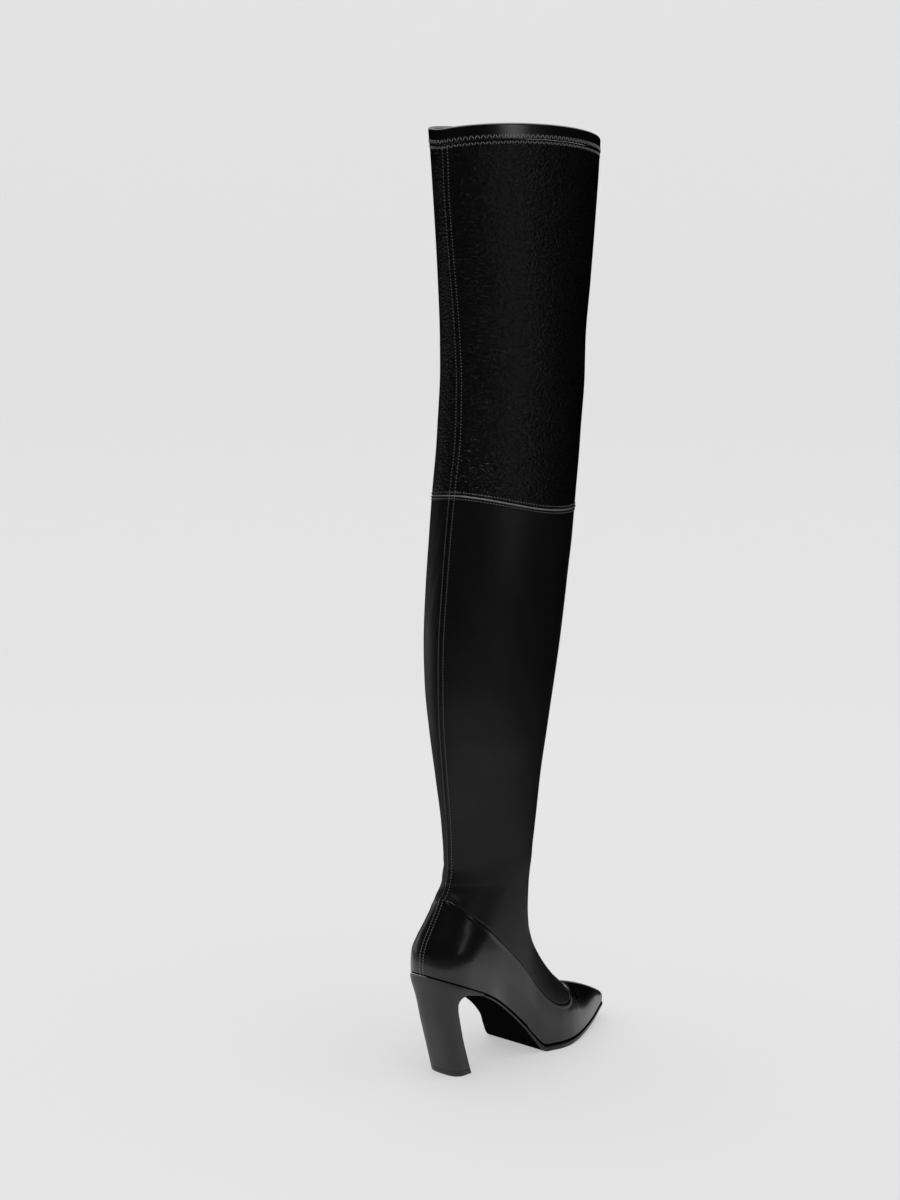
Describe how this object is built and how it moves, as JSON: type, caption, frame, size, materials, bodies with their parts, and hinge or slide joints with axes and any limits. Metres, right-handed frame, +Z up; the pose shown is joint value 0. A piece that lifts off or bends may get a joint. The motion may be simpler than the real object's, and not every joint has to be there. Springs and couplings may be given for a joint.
{
  "type": "thigh high boot",
  "caption": "Right thigh high stretch leather boot in black, with a chisel toe, a curved block heel and a banded collar, open inside from collar to toe.",
  "frame": {"origin": "middle of the heel's tread, on the floor", "axes": "+X to the toe, +Y to the inner side of the foot, +Z up"},
  "size_m": [0.2335, 0.1198, 0.7767],
  "materials": {
    "collar_leather": "satin",
    "thigh_leather": "fine pebble grain, satin",
    "shaft_leather": "smooth stretch leather, satin",
    "foot_leather": "polished",
    "insole_leather": "matte",
    "sole_leather": "glossy",
    "heel_leather": "satin",
    "heel_rubber": "matte"
  },
  "bodies": {
    "root": {"collar_band": "collar_leather", "upper_shaft": "thigh_leather", "lower_shaft": "shaft_leather", "foot_upper": "foot_leather", "insole": "insole_leather", "outsole": "sole_leather", "heel_block": "heel_leather", "heel_top_piece": "heel_rubber"}
  },
  "joints": []
}
